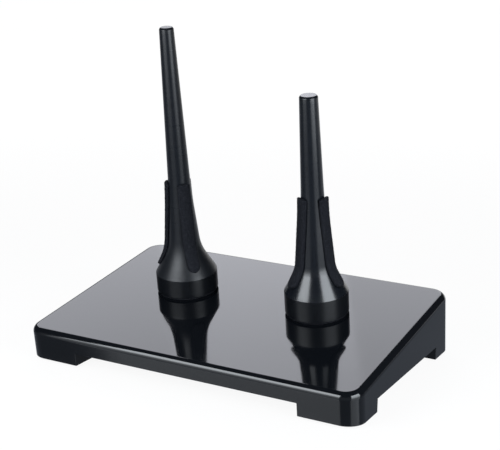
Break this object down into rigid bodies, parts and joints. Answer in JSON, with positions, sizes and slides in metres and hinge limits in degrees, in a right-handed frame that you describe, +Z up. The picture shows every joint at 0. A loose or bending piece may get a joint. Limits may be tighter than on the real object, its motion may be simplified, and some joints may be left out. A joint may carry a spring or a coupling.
{
  "type": "oboe stand",
  "caption": "Lacquered wedge-shaped block on corner legs with a tall and a short turned peg, felt-stripped to hold upright woodwinds by their bells; the pegs unscrew.",
  "frame": {"origin": "on the surface that the stand rests on, under the middle of the block's width and depth", "axes": "+Z up, +X to the right along the block's front, +Y to the back, where the block is taller; both pegs lean forward, square to the sloping top"},
  "size_m": [0.225, 0.1526, 0.2055],
  "materials": {
    "black_lacquer": "high-gloss black lacquer",
    "satin_black": "satin black, turned",
    "black_felt": "felt",
    "zinc_steel": "zinc plated",
    "brass": "machined",
    "black_rubber": "matt"
  },
  "bodies": {
    "base": {"base_block": "black_lacquer", "foot_pad_front_left": "black_rubber", "foot_pad_front_right": "black_rubber", "foot_pad_back_left": "black_rubber", "foot_pad_back_right": "black_rubber", "tall_peg_insert": "brass", "short_peg_insert": "brass"},
    "tall_peg_ring": {"tall_peg_felt_ring": "black_felt"},
    "tall_peg": {"tall_peg": "satin_black", "tall_peg_stud": "zinc_steel", "tall_peg_felt_strip_1": "black_felt", "tall_peg_felt_strip_2": "black_felt", "tall_peg_felt_strip_3": "black_felt"},
    "short_peg_ring": {"short_peg_felt_ring": "black_felt"},
    "short_peg": {"short_peg": "satin_black", "short_peg_stud": "zinc_steel", "short_peg_felt_strip_1": "black_felt", "short_peg_felt_strip_2": "black_felt", "short_peg_felt_strip_3": "black_felt"}
  },
  "joints": [
    {"name": "tall_peg_lift", "type": "slide", "parent": "base", "child": "tall_peg_ring", "axis": [0, -0.1426, 0.9898], "range_m": [0, 0.0094]},
    {"name": "tall_peg_turn", "type": "hinge", "parent": "tall_peg_ring", "child": "tall_peg", "pos_m": [-0.047, 0.01065, 0.03309], "axis": [0, -0.1426, 0.9898], "range_deg": [0, 2700]},
    {"name": "short_peg_lift", "type": "slide", "parent": "base", "child": "short_peg_ring", "axis": [0, -0.1426, 0.9898], "range_m": [0, 0.0094]},
    {"name": "short_peg_turn", "type": "hinge", "parent": "short_peg_ring", "child": "short_peg", "pos_m": [0.047, 0.01065, 0.03309], "axis": [0, -0.1426, 0.9898], "range_deg": [0, 2700]}
  ],
  "couplings": [
    {"joint": "tall_peg_lift", "follows": "tall_peg_turn", "m_per_rad": 0.00019894},
    {"joint": "short_peg_lift", "follows": "short_peg_turn", "m_per_rad": 0.00019894}
  ]
}
